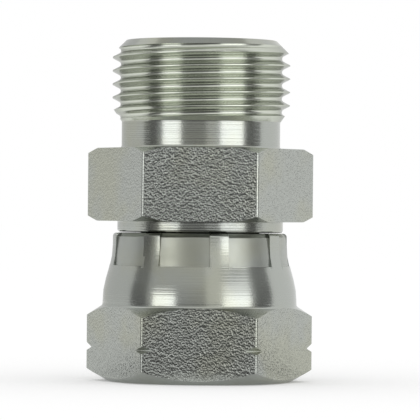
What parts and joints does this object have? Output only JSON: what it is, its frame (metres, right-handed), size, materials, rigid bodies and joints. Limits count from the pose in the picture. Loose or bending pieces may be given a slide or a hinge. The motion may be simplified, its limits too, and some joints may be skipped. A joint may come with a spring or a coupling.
{
  "type": "straight hydraulic adapter fitting",
  "caption": "Straight steel hydraulic adapter: male cone-end thread, wrench hexagon and a crimped swivel nut.",
  "frame": {"origin": "on the axis, in the plane of the nut's open face", "axes": "+Z along the axis towards the male thread; a flat of each hexagon faces -Y"},
  "size_m": [0.0254, 0.022, 0.0382],
  "materials": {
    "body_steel": "bright zinc plate over turned and milled steel",
    "nut_steel": "bright zinc plate over turned and milled steel, slightly duller"
  },
  "bodies": {
    "body": {"adapter_body": "body_steel"},
    "nut": {"swivel_nut": "nut_steel"}
  },
  "joints": [
    {"name": "nut_swivel", "type": "hinge", "parent": "body", "child": "nut", "pos_m": [0, 0, 0.0159], "axis": [0, 0, 1], "continuous": true}
  ]
}
